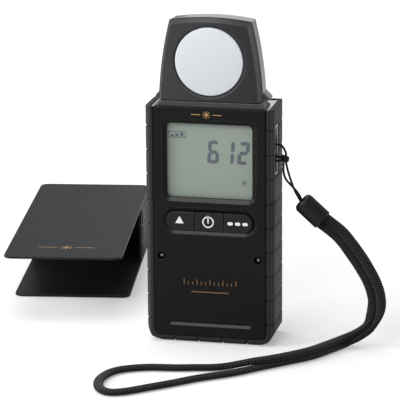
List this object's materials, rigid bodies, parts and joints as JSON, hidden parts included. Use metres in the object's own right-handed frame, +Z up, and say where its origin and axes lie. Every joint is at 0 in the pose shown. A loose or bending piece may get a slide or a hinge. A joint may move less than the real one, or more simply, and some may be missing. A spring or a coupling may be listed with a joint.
{
  "type": "handheld light meter",
  "caption": "Handheld light meter with a swivelling sensor head, display, keys, rubber bumper, wrist strap and a slide-on cover lying beside it.",
  "frame": {"origin": "middle of the flat underside of the bumper's foot, on the table", "axes": "+Z up along the meter, -Y the way the display and the sensor face, +X to the right of someone facing the display"},
  "size_m": [0.2056, 0.2452, 0.1531],
  "materials": {
    "face_plastic": "satin",
    "case_plastic": "fine texture",
    "bumper_rubber": "soft touch",
    "deck_silver": "satin silver",
    "window_clear": "clear",
    "lcd_glass": "grey green",
    "frame_white": "matt",
    "strip_rubber": "matt",
    "board_green": "satin",
    "chip_black": "matt",
    "contact_steel": "plated",
    "mat_rubber": "matt",
    "key_rubber": "matt",
    "screw_steel": "plated",
    "cell_steel": "printed sleeve",
    "spindle_brass": "turned",
    "washer_plastic": "matt",
    "cable_plastic": "satin",
    "head_plastic": "fine texture",
    "diffuser_white": "opal",
    "filter_glass": "tinted",
    "diode_metal": "plated",
    "cord_black": "braided",
    "ferrule_black": "gloss",
    "cap_plastic": "satin"
  },
  "bodies": {
    "meter_body": {"front_cover": "face_plastic", "rear_cover": "case_plastic", "side_bumper": "bumper_rubber", "top_deck": "deck_silver", "display_window": "window_clear", "lcd_panel": "lcd_glass", "lcd_frame": "frame_white", "contact_strips": "strip_rubber", "main_board": "board_green", "board_parts": "chip_black", "switch_domes": "contact_steel", "key_mat": "mat_rubber", "case_screws": "screw_steel", "cells": "cell_steel", "battery_contacts": "contact_steel", "strap_eye": "deck_silver", "strap_bar": "screw_steel", "swivel_collar": "head_plastic", "friction_washer": "washer_plastic", "strap_cord": "cord_black", "strap_ferrule": "ferrule_black", "strap_band": "cord_black"},
    "sensor_head": {"swivel_spindle": "spindle_brass", "retaining_ring": "screw_steel", "sensor_cable": "cable_plastic", "head_front": "head_plastic", "head_rear": "head_plastic", "diffuser": "diffuser_white", "diffuser_seal": "mat_rubber", "light_tube": "chip_black", "colour_filter": "filter_glass", "photodiode": "diode_metal", "sensor_board": "board_green", "head_screws": "screw_steel"},
    "up_key": {"key_up": "key_rubber"},
    "power_key": {"key_power": "key_rubber"},
    "mode_key": {"key_mode": "key_rubber"},
    "battery_door": {"battery_cover": "case_plastic"},
    "cap": {"cap_shell": "cap_plastic"}
  },
  "joints": [
    {"name": "head_swivel", "type": "hinge", "parent": "meter_body", "child": "sensor_head", "pos_m": [0, -0.0045, 0.115], "axis": [0, 0, 1], "range_deg": [-90, 180]},
    {"name": "up_press", "type": "slide", "parent": "meter_body", "child": "up_key", "axis": [0, 1, 0], "range_m": [0, 0.0006], "stiffness_N_per_m": 400},
    {"name": "power_press", "type": "slide", "parent": "meter_body", "child": "power_key", "axis": [0, 1, 0], "range_m": [0, 0.0006], "stiffness_N_per_m": 400},
    {"name": "mode_press", "type": "slide", "parent": "meter_body", "child": "mode_key", "axis": [0, 1, 0], "range_m": [0, 0.0006], "stiffness_N_per_m": 400},
    {"name": "cover_lift", "type": "slide", "parent": "meter_body", "child": "battery_door", "axis": [0, 1, 0], "range_m": [0, 0.02]},
    {"name": "cap_lift", "type": "slide", "parent": "meter_body", "child": "cap", "axis": [0, 0, 1], "range_m": [0, 0.06]}
  ]
}
